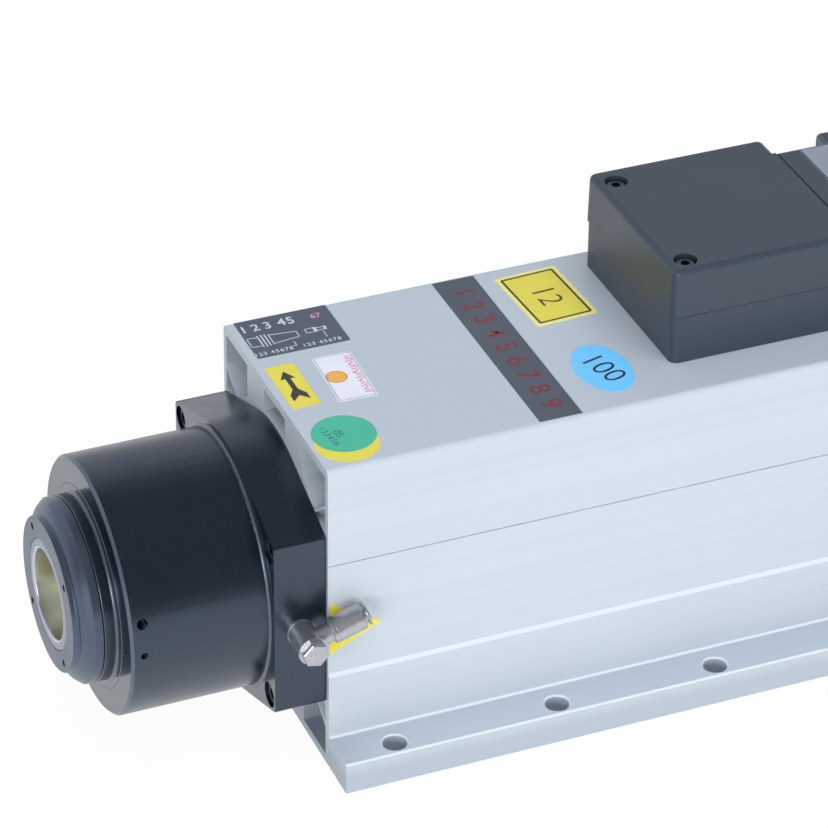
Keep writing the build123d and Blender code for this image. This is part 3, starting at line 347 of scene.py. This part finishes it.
materials = {
    "extrusion": anodisedAluminium(),
    "black": blackAnodised(),
    "oxide": blackOxide("oiledBlackOxide", "#0E1016", "#14161D", 0.26, 2.0),
    "ring": blackOxide("wornBlackOxide", "#2A2E37", "#31353E", 0.3, 2.2),
    "shaft": groundSteel(),
    "case": mouldedPlastic("darkGreyCasePlastic", "#303A47", "#333E4B", 0.38, 0.35, 0.004),
    "nylon": mouldedPlastic("blackNylon", "#15161A", "#1E2024", 0.45, 0.5, 0.02),
    "paleNylon": mouldedPlastic("paleNylon", "#C9C7BC", "#D6D4CB", 0.45, 0.5, 0.02),
    "sealPlastic": mouldedPlastic("filledFluoroPlastic", "#B9B6A6", "#C9C6B8", 0.35, 0.4, 0.01),
    "nickel": fineMetal("nickelPlatedBrass", "#B8BAC0", "#C2C4CA", 0.34, 1.5, 0.88),
    "aluminium": fineMetal("machinedAluminium", "#A9AEB5", "#C2C6CC", 0.35),
    "zinc": fineMetal("zincPlatedSteel", "#9A9DA0", "#B9BBBD", 0.32),
    "spring": fineMetal("springSteel", "#4A4C50", "#5E6064", 0.35),
    "bearing": fineMetal("polishedBearingSteel", "#B5B7BA", "#C9CBCD", 0.12),
    "sheet": stackedSheet(),
    "copper": copperWinding(),
    "cage": phenolicCage(),
    "rubber": softRubber("nitrileRubber", "#141415"),
    "brushedPlate": fineMetal("brushedPlate", "#BAC4D2", "#C4CEDC", 0.45),
    "slateFoil": printedVinyl("slateFoil", "#464E5D", "#4B5362", 0.36),
    "stripFoil": printedVinyl("darkFoil", "#444C5A", "#4A525F", 0.38),
    "paleYellowVinyl": printedVinyl("paleYellowVinyl", "#EAE48C", "#E4DE80"),
    "yellowVinyl": printedVinyl("yellowVinyl", "#DFD34C", "#D9CC44"),
    "whiteVinyl": printedVinyl("whiteVinyl", "#E2E3EE", "#DADCE8"),
    "greenVinyl": printedVinyl("greenVinyl", "#3CAF90", "#41B395"),
    "blueVinyl": printedVinyl("blueVinyl", "#6CC4FF", "#72C8FF"),
}
nodeMaterials = {
    "extrusion": ["body_extrusion"],
    "black": ["front_housing", "front_cap", "fan_cowl"],
    "ring": ["nose_ring"],
    "oxide": ["flange_screws", "rear_plate_screws", "cylinder_screws", "cowl_screws", "fan_screws",
              "lid_screws", "terminal_box_screws", "rear_lock_nut", "drawbar_nut", "claw_1", "claw_2",
              "claw_3", "claw_4", "fan_guard"],
    "shaft": ["spindle_shaft", "drawbar", "front_spacer_outer", "front_spacer_inner"],
    "case": ["terminal_box_base", "terminal_box_lid", "wiring_cover"],
    "nylon": ["fan_frame", "fan_rotor", "gland_bodies", "gland_caps", "gland_nuts"],
    "paleNylon": ["terminal_block"],
    "sealPlastic": ["piston_seal"],
    "nickel": ["banjo_bolt", "elbow_washers", "elbow_body", "release_collar", "air_fittings"],
    "aluminium": ["rear_bearing_housing", "rotor_end_rings", "rear_plate", "cylinder_body", "cylinder_cover",
                  "piston"],
    "zinc": ["cover_screws"],
    "spring": ["preload_spring", "disc_springs"],
    "bearing": ["front_outer_rings", "front_inner_rings", "front_balls",
                "rear_outer_rings", "rear_inner_rings", "rear_balls"],
    "sheet": ["rotor_core", "stator_core"],
    "copper": ["stator_winding"],
    "cage": ["front_cages", "rear_cages"],
    "rubber": ["terminal_box_gasket", "gland_seals"],
}


def paintNode(piece, material):
    piece.data.materials.clear()
    piece.data.materials.append(material)


for slotName, nodeNames in nodeMaterials.items():
    for nodeName in nodeNames:
        paintNode(frame["nodes"][nodeName], materials[slotName])
print("materials made:", len(materials))


def deselectAll():
    if bpy.context.object and bpy.context.object.mode != "OBJECT":
        bpy.ops.object.mode_set(mode="OBJECT")
    bpy.ops.object.select_all(action="DESELECT")


def activate(piece):
    deselectAll()
    piece.select_set(True)
    bpy.context.view_layer.objects.active = piece


def applyModifiers(piece):
    activate(piece)
    for modifier in list(piece.modifiers):
        bpy.ops.object.modifier_apply(modifier=modifier.name)


nodeBodies = {node: piece["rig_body"] for node, piece in frame["nodes"].items()}


edgeSettings = {"sameVertex": 0.002 * mm, "samePlane": math.radians(0.4), "sharpAngle": math.radians(32)}


def softenNode(nodeName, width):
    # a merged copy of the node whose sharp edges catch the light as worked ones do
    source = frame["nodes"][nodeName]
    piece = bpy.data.objects.new(nodeName + "_finished", source.data.copy())
    bpy.context.scene.collection.objects.link(piece)
    activate(piece)
    bpy.ops.object.mode_set(mode="EDIT")
    bpy.ops.mesh.select_all(action="SELECT")
    bpy.ops.mesh.customdata_custom_splitnormals_clear()
    bpy.ops.mesh.remove_doubles(threshold=edgeSettings["sameVertex"])
    bpy.ops.mesh.dissolve_limited(angle_limit=edgeSettings["samePlane"])
    bpy.ops.object.mode_set(mode="OBJECT")
    bevel = piece.modifiers.new("softEdge", "BEVEL")
    bevel.width = width * mm
    bevel.segments = 2
    bevel.limit_method = "ANGLE"
    bevel.angle_limit = edgeSettings["sharpAngle"]
    bevel.use_clamp_overlap = True
    applyModifiers(piece)
    bpy.ops.object.shade_smooth_by_angle(angle=edgeSettings["sharpAngle"])
    even = piece.modifiers.new("evenShade", "WEIGHTED_NORMAL")
    even.keep_sharp = True
    applyModifiers(piece)
    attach(piece, nodeBodies[nodeName])
    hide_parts(nodeName)
    return piece


edgeWidths = {
    "body_extrusion": 0.3, "front_housing": 0.35, "front_cap": 0.15, "nose_ring": 0.12, "spindle_shaft": 0.12,
    "flange_screws": 0.2, "banjo_bolt": 0.12, "elbow_body": 0.12, "release_collar": 0.1,
    "terminal_box_base": 0.15, "terminal_box_lid": 0.2, "lid_screws": 0.15, "wiring_cover": 0.2,
    "cover_screws": 0.15, "fan_cowl": 0.3, "rear_plate": 0.2, "fan_frame": 0.3, "fan_guard": 0.15,
    "fan_screws": 0.15, "gland_bodies": 0.2, "gland_caps": 0.3, "air_fittings": 0.2, "cylinder_body": 0.2,
    "cylinder_cover": 0.2,
}
for nodeName, width in edgeWidths.items():
    softenNode(nodeName, width)

springSettings = {"edge": 0.1, "travel": 7.92 * mm}
springs = softenNode("disc_springs", springSettings["edge"])
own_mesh(springs)
print("edges softened:", len(edgeWidths) + 1)


stickerThickness = 0.12 * mm
inkThickness = 0.02 * mm
plateTop = bodyTop + stickerThickness


def finishPiece(piece, name, material):
    activate(piece)
    bpy.ops.object.transform_apply(location=True, rotation=True, scale=True)
    piece.name = name
    piece.data.name = name
    paintNode(piece, material)
    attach(piece, "housing")


def raiseOutline(piece, thickness):
    # turns the flat outline of a piece into a thin solid
    bpy.ops.object.mode_set(mode="EDIT")
    bpy.ops.mesh.select_all(action="SELECT")
    bpy.ops.mesh.extrude_region_move(TRANSFORM_OT_translate={"value": (0, 0, thickness)})
    bpy.ops.mesh.select_all(action="SELECT")
    bpy.ops.mesh.normals_make_consistent(inside=False)
    bpy.ops.object.mode_set(mode="OBJECT")


def layerBox(centre, size, turn, low, thickness, cornerRadius=0.0):
    # a flat plate with rounded corners, lying on the plane at height low
    deselectAll()
    bpy.ops.mesh.primitive_plane_add(size=1.0, location=(0, 0, 0))
    piece = bpy.context.object
    piece.scale = (size[0] * mm, size[1] * mm, 1)
    bpy.ops.object.transform_apply(scale=True)
    if cornerRadius:
        bpy.ops.object.mode_set(mode="EDIT")
        bpy.ops.mesh.select_all(action="SELECT")
        bpy.ops.mesh.bevel(offset=cornerRadius * mm, segments=4, affect="VERTICES")
        bpy.ops.object.mode_set(mode="OBJECT")
    raiseOutline(piece, thickness)
    piece.rotation_euler = (0, 0, math.radians(turn))
    piece.location = (bodyFront + centre[0] * mm, centre[1] * mm, low)
    return piece


def layerOutline(corners, thickness):
    # a flat piece with the given corners, which go round against the clock
    deselectAll()
    bpy.ops.mesh.primitive_circle_add(vertices=len(corners), radius=mm, fill_type="NGON", location=(0, 0, 0))
    piece = bpy.context.object
    loop = [piece.data.loops[i].vertex_index for i in piece.data.polygons[0].loop_indices]
    if piece.data.polygons[0].normal.z < 0:
        loop.reverse()
    for index, (x, y) in zip(loop, corners):
        piece.data.vertices[index].co = (x * mm, y * mm, 0)
    raiseOutline(piece, thickness)
    return piece


def layerDisc(centre, size, low, thickness):
    # a round or oval plate; size is its full width along each axis
    deselectAll()
    bpy.ops.mesh.primitive_circle_add(vertices=96, radius=0.5, fill_type="NGON", location=(0, 0, 0))
    piece = bpy.context.object
    piece.scale = (size[0] * mm, size[1] * mm, 1)
    bpy.ops.object.transform_apply(scale=True)
    raiseOutline(piece, thickness)
    piece.location = (bodyFront + centre[0] * mm, centre[1] * mm, low)
    return piece


def printedText(text, centre, height, turn, low, weight, spacing):
    # height is that of a digit; a letter's em square is taller
    emShare = 1.4
    deselectAll()
    bpy.ops.object.text_add(location=(0, 0, 0))
    piece = bpy.context.object
    piece.data.body = text
    piece.data.size = height * emShare * mm
    piece.data.align_x = "CENTER"
    piece.data.align_y = "CENTER"
    piece.data.offset = weight * mm
    piece.data.space_character = spacing
    piece.data.extrude = inkThickness / 2
    bpy.ops.object.convert(target="MESH")
    piece = bpy.context.object
    piece.rotation_euler = (0, 0, math.radians(turn))
    piece.location = (bodyFront + centre[0] * mm, centre[1] * mm, low + inkThickness / 2)
    return piece


def joinPieces(pieces):
    deselectAll()
    for piece in pieces:
        piece.select_set(True)
    bpy.context.view_layer.objects.active = pieces[0]
    bpy.ops.object.transform_apply(location=True, rotation=True, scale=True)
    bpy.ops.object.join()
    return bpy.context.object


def labelTexts(texts, origin):
    # texts are (text, place from the origin, height of a digit, turn, weight, spacing)
    x, y = origin
    return [printedText(text, (x + place[0], y + place[1]), height, turn, plateTop, weight, spacing)
            for text, place, height, turn, weight, spacing in texts]


def borderBars(wide, high, line):
    return [(0, high / 2, wide, line, 0), (0, -high / 2, wide, line, 0), (wide / 2, 0, line, high, 0),
            (-wide / 2, 0, line, high, 0)]


def inkBars(bars, turn, origin, low):
    # bars are (x, y, length, width, angle) about the label's own centre
    pieces = []
    spin = Matrix.Rotation(math.radians(turn), 2)
    for x, y, length, width, angle in bars:
        place = spin @ Vector((x, y))
        pieces.append(layerBox((origin[0] + place.x, origin[1] + place.y), (length, width), turn + angle, low,
                               inkThickness))
    return joinPieces(pieces)


ink = {
    "black": printedVinyl("blackInk", "#26282C", "#2E3034"),
    "white": printedVinyl("whiteInk", "#C4CCDA", "#BCC4D2"),
    "rose": printedVinyl("roseInk", "#CE94AC", "#C68CA4"),
    "lilac": printedVinyl("lilacInk", "#A9A2B8", "#A29BB2"),
    "orange": printedVinyl("orangeInk", "#EDAA4C", "#E8A046"),
    "rust": printedVinyl("rustInk", "#C07A4C", "#B87246"),
    "stripRed": printedVinyl("stripRedInk", "#7A2634", "#6C202C"),
    "olive": printedVinyl("oliveInk", "#4A431A", "#3E3816"),
    "darkGreen": printedVinyl("darkGreenInk", "#22685A", "#1E5F52"),
}


slatePlate = {
    "centre": (19.85, 35.65), "size": (33.7, 24.3), "turn": 0.0,
    "holder": [(-14.2, 0.7, 4.0, 0.35, 0), (-14.2, -4.9, 4.0, 0.35, 0), (-16.1, -2.1, 0.35, 5.6, 0),
               (-12.2, -2.1, 0.5, 7.4, 0), (-10.9, -2.1, 0.5, 7.8, 0), (-9.6, -2.1, 0.5, 7.4, 0),
               (-8.3, -2.1, 0.35, 6.8, 0), (-3.4, 0.2, 9.8, 0.35, -7), (-3.4, -4.4, 9.8, 0.35, 7),
               (1.4, -2.1, 0.35, 3.4, 0), (-1.5, -7.4, 0.3, 2.8, 0), (-2.2, -8.8, 1.6, 0.3, 0)],
    "stud": [(5.9, -0.3, 2.8, 0.35, 0), (5.9, -2.9, 2.8, 0.35, 0), (4.5, -1.6, 0.35, 2.8, 0),
             (7.9, -1.6, 1.2, 3.0, 0), (9.9, -0.8, 2.8, 0.35, 0), (9.9, -2.4, 2.8, 0.35, 0),
             (11.5, -1.6, 0.9, 2.4, 0), (10.2, -5.4, 0.3, 4.0, 0)],
    "texts": [("123", (-10.8, 6.6), 4.3, 0, 0.06, 1.45), ("45", (0.4, 6.8), 4.2, 0, 0.1, 1.1),
              ("123 45678", (-10.2, -9.9), 1.9, 0, 0.05, 1.25),
              ("123 45678", (7.3, -9.9), 1.9, 0, 0.05, 1.25)],
    "number": ("67", (11.2, 6.6), 2.8, 0, 0.05, 1.0),
}


def makeSlatePlate():
    # a dark foil plate with a plain drawing of a tool holder and a pull stud
    plate = slatePlate
    base = layerBox(plate["centre"], plate["size"], plate["turn"], bodyTop, stickerThickness, 0.6)
    finishPiece(base, "slate_plate", materials["slateFoil"])
    drawing = inkBars(plate["holder"] + plate["stud"], plate["turn"], plate["centre"], plateTop)
    marks = [drawing] + labelTexts(plate["texts"], plate["centre"])
    finishPiece(joinPieces(marks), "slate_plate_print", ink["white"])
    number = labelTexts([plate["number"]], plate["centre"])[0]
    finishPiece(number, "slate_plate_number", ink["rose"])


arrowSticker = {"centre": (8.0, 3.65), "size": (10.4, 26.9), "turn": 0.0,
                "head": [(0.95, -2.4), (2.9, -5.6), (3.0, -9.4)], "notch": (0, -6.4),
                "tail": [(-0.95, 4.6), (-2.7, 4.3), (0, 9.3), (2.7, 4.3), (0.95, 4.6)]}


def makeArrowSticker():
    label = arrowSticker
    base = layerBox(label["centre"], label["size"], label["turn"], bodyTop, stickerThickness, 0.5)
    finishPiece(base, "arrow_sticker", materials["yellowVinyl"])
    otherSide = [(-x, y) for x, y in reversed(label["head"])]
    corners = otherSide + label["tail"] + label["head"] + [label["notch"]]
    arrow = layerOutline(corners[::-1], inkThickness)
    arrow.location = (bodyFront + label["centre"][0] * mm, label["centre"][1] * mm, plateTop)
    finishPiece(arrow, "arrow_print", ink["black"])


whiteLabel = {
    "centre": (26.3, 2.7), "size": (14.0, 28.9), "turn": -2.0, "border": 0.35, "margin": 0.6,
    "rules": 18, "ruleStep": 1.35, "firstRule": (4.6, 2.4),
    "dot": (-2.6, 0.6), "dotSize": 6.6, "rimSize": 7.4,
}


def makeWhiteLabel():
    label = whiteLabel
    base = layerBox(label["centre"], label["size"], label["turn"], bodyTop, stickerThickness, 0.8)
    finishPiece(base, "white_label", materials["whiteVinyl"])
    wide, high = (side - 2 * label["margin"] for side in label["size"])
    border = borderBars(wide, high, label["border"])
    finishPiece(inkBars(border, label["turn"], label["centre"], plateTop), "white_label_border", ink["lilac"])
    # a column of short strokes, each a little unlike the last
    left, down = label["firstRule"]
    rules = [(left + (i % 2) * 0.3, high / 2 - down - i * label["ruleStep"], 1.9 + (i % 3) * 0.5, 0.6,
              (i % 4) * 22 - 30) for i in range(label["rules"])]
    finishPiece(inkBars(rules, label["turn"], label["centre"], plateTop), "white_label_rules", ink["rose"])
    centre = tuple(middle + step for middle, step in zip(label["centre"], label["dot"]))
    rim = layerDisc(centre, (label["rimSize"],) * 2, plateTop, inkThickness / 2)
    finishPiece(rim, "white_label_dot_rim", ink["rust"])
    dot = layerDisc(centre, (label["dotSize"],) * 2, plateTop, inkThickness)
    finishPiece(dot, "white_label_dot", ink["orange"])


inspectionDiscs = {
    "green": (13.3, -29.8), "yellow": (12.15, -35.6), "diameter": 21.9,
    "texts": [("05", (-1.8, 0.6), 2.9, -82, 0, 1.0), ("123456", (-5.1, 0.2), 2.4, -82, 0, 1.2)],
}


def makeDiscs():
    # the green disc lies over the edge of the yellow one
    discs = inspectionDiscs
    size = (discs["diameter"],) * 2
    lower = layerDisc(discs["yellow"], size, bodyTop, stickerThickness * 0.5)
    finishPiece(lower, "yellow_disc", materials["yellowVinyl"])
    upper = layerDisc(discs["green"], size, bodyTop, stickerThickness)
    finishPiece(upper, "green_disc", materials["greenVinyl"])
    finishPiece(joinPieces(labelTexts(discs["texts"], discs["green"])), "green_disc_print", ink["darkGreen"])


blueOval = {"centre": (109.3, -24.2), "size": (19.3, 30.4), "number": ("100", (0, 0), 8.6, -75, -0.08, 1.0)}


def makeBlueOval():
    label = blueOval
    base = layerDisc(label["centre"], label["size"], bodyTop, stickerThickness)
    finishPiece(base, "blue_oval", materials["blueVinyl"])
    number = labelTexts([label["number"]], label["centre"])[0]
    finishPiece(number, "blue_oval_print", ink["black"])


darkStrip = {"centre": (84.05, 0.0), "size": (15.5, 94.0), "turn": 0.0,
             "digits": 9, "digitStep": 9.5, "digitHeight": 7.6, "digitTurn": -90, "digitWeight": 0.1}


def makeStrip():
    label = darkStrip
    base = layerBox(label["centre"], label["size"], label["turn"], bodyTop, stickerThickness)
    finishPiece(base, "dark_strip", materials["stripFoil"])
    # digits that count up from the far end, evenly spaced about the middle
    first = label["digitStep"] * (label["digits"] - 1) / 2
    digits = [(str(i + 1), (0, first - label["digitStep"] * i), label["digitHeight"], label["digitTurn"],
               label["digitWeight"], 1.0) for i in range(label["digits"])]
    finishPiece(joinPieces(labelTexts(digits, label["centre"])), "dark_strip_print", ink["stripRed"])


gradeLabel = {"centre": (110.2, 25.4), "size": (23.4, 34.2), "turn": 3.2, "edge": 1.5, "border": 0.9,
              "number": ("12", (0, 0), 9.0, 3.2 - 90, -0.12, 1.0)}


def makeGradeLabel():
    label = gradeLabel
    rim = layerBox(label["centre"], label["size"], label["turn"], bodyTop, stickerThickness, 1.0)
    finishPiece(rim, "grade_label", materials["paleYellowVinyl"])
    inner = tuple(side - 2 * label["edge"] for side in label["size"])
    field = layerBox(label["centre"], inner, label["turn"], plateTop, inkThickness / 2, 0.6)
    finishPiece(field, "grade_label_field", materials["yellowVinyl"])
    wide, high = (side - label["border"] for side in inner)
    marks = inkBars(borderBars(wide, high, label["border"]), label["turn"], label["centre"], plateTop)
    number = labelTexts([label["number"]], label["centre"])
    finishPiece(joinPieces([marks] + number), "grade_label_print", ink["olive"])


sideSticker = {"corners": [(0.5, 46.3), (19.2, 56.0), (0.8, 67.4)], "face": -49.4}


def makeSideSticker():
    # a bare three cornered piece of yellow vinyl on the near side, half behind the elbow
    piece = layerOutline(sideSticker["corners"], stickerThickness)
    piece.rotation_euler = (math.radians(90), 0, 0)
    piece.location = (bodyFront, sideSticker["face"] * mm, 0)
    finishPiece(piece, "side_sticker", materials["yellowVinyl"])


coverPlate = {"start": 207.3, "end": 249.0, "near": -17.0, "far": 28.6, "thickness": 0.3, "sunk": 0.25,
              "darkEdgeStrip": (0.4, 0.5)}


def makeCoverPlate():
    # a bare brushed plate on the wiring cover, with a thin dark strip along its first edge
    plate = coverPlate
    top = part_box("wiring_cover")[1].z
    middle = ((plate["start"] + plate["end"]) / 2, (plate["near"] + plate["far"]) / 2)
    size = (plate["end"] - plate["start"], plate["far"] - plate["near"])
    piece = layerBox(middle, size, 0, top - plate["sunk"] * mm, plate["thickness"] * mm, 0.8)
    finishPiece(piece, "cover_plate", materials["brushedPlate"])
    offset, width = plate["darkEdgeStrip"]
    upper = top + (plate["thickness"] - plate["sunk"]) * mm
    edge = layerBox((plate["start"] + offset, middle[1]), (width, size[1] - 1.0), 0, upper, inkThickness)
    finishPiece(edge, "cover_plate_edge", ink["black"])


for makeSticker in (makeSlatePlate, makeArrowSticker, makeWhiteLabel, makeDiscs, makeBlueOval, makeStrip,
                    makeGradeLabel, makeSideSticker, makeCoverPlate):
    makeSticker()
print("stickers made")


studio = {
    "floor": "#FFFFFF", "floorSize": 12.0, "floorHeight": -0.2 * mm, "shadow": 0.05,
    "frontSky": 0.17, "backSky": 0.72, "skyColour": "#F8FAFF",
    # place, point aimed at, size, power, colour, and whether metal mirrors it
    "lamps": {
        "keySoftbox": ((-2.0, -2.0, 0.8), (0, 0, 0.06), (1.6, 1.0), 40.0, "#FFFCF9", True),
        "frontSoftbox": ((0.9, -2.2, 0.5), (0, 0, 0.06), (2.0, 0.7), 24.0, "#FFFCF9", False),
        "topSoftbox": ((0.0, -0.45, 1.55), (0, 0, 0.08), (1.6, 1.2), 20.0, "#F6FAFF", False),
    },
}


def makeFloor():
    deselectAll()
    bpy.ops.mesh.primitive_plane_add(size=studio["floorSize"], location=(0, 0, studio["floorHeight"]))
    floor = bpy.context.object
    floor.name = "studio_floor"
    material = bpy.data.materials.new("whitePaper")
    material.use_nodes = True
    tree = material.node_tree
    shader = tree.nodes["Principled BSDF"]
    shader.inputs["Base Color"].default_value = toLinear(studio["floor"])
    shader.inputs["Roughness"].default_value = 0.9
    glow = addNode(tree, "ShaderNodeEmission", {"Strength": 1.0})
    path = addNode(tree, "ShaderNodeLightPath")
    seen = calculate(tree, "MAXIMUM", path.outputs["Is Camera Ray"], path.outputs["Is Glossy Ray"])
    share = calculate(tree, "MULTIPLY", seen, 1 - studio["shadow"])
    mix = addNode(tree, "ShaderNodeMixShader", {}, {0: share, 1: shader.outputs[0], 2: glow.outputs[0]})
    tree.links.new(mix.outputs[0], tree.nodes["Material Output"].inputs["Surface"])
    paintNode(floor, material)


def makeSky():
    world = bpy.data.worlds.new("studioWorld")
    bpy.context.scene.world = world
    world.use_nodes = True
    tree = world.node_tree
    background = tree.nodes["Background"]
    path = addNode(tree, "ShaderNodeLightPath")
    # a pale wall behind the bench, and a darker room in front of it and above
    place = addNode(tree, "ShaderNodeTexCoord").outputs["Generated"]
    behind = remap(tree, axisPart(tree, place, "Y"), 0.0, 0.45, 0, 1)
    low = remap(tree, axisPart(tree, place, "Z"), 0.92, 0.6, 0, 1)
    level = remap(tree, calculate(tree, "MULTIPLY", behind, low), 0, 1, studio["frontSky"], studio["backSky"])
    background.inputs["Color"].default_value = toLinear(studio["skyColour"])
    strength = addNode(tree, "ShaderNodeMix", {"data_type": "FLOAT", 3: 1.0},
                       {0: path.outputs["Is Camera Ray"], 2: level})
    tree.links.new(strength.outputs[0], background.inputs["Strength"])


def areaLight(name, place, aim, size, power, colour, mirrored):
    light = bpy.data.lights.new(name, "AREA")
    light.shape = "RECTANGLE"
    light.size, light.size_y = size
    light.energy = power
    light.color = toLinear(colour)[:3]
    item = bpy.data.objects.new(name, light)
    bpy.context.scene.collection.objects.link(item)
    item.location = place
    item.rotation_euler = (Vector(aim) - Vector(place)).to_track_quat("-Z", "Y").to_euler()
    item.visible_glossy = mirrored


cameraView = {"place": (-0.52654, -1.12450, 0.89546), "aim": (-0.06067, -0.00314, 0.10300), "roll": 0.6408,
              "lens": 185.88, "sensor": 36.0, "clip": (0.05, 30.0)}


def makeCamera():
    data = bpy.data.cameras.new("studioCamera")
    data.lens = cameraView["lens"]
    data.sensor_width = cameraView["sensor"]
    data.clip_start, data.clip_end = cameraView["clip"]
    camera = bpy.data.objects.new("studioCamera", data)
    bpy.context.scene.collection.objects.link(camera)
    place, aim = Vector(cameraView["place"]), Vector(cameraView["aim"])
    roll = Matrix.Rotation(math.radians(cameraView["roll"]), 3, "Z")
    turn = (aim - place).to_track_quat("-Z", "Y").to_matrix() @ roll
    camera.matrix_world = Matrix.Translation(place) @ turn.to_4x4()
    bpy.context.scene.camera = camera


makeFloor()
makeSky()
for name, settings in studio["lamps"].items():
    areaLight(name, *settings)
makeCamera()
bpy.context.scene.view_settings.view_transform = "Standard"
print("studio made")
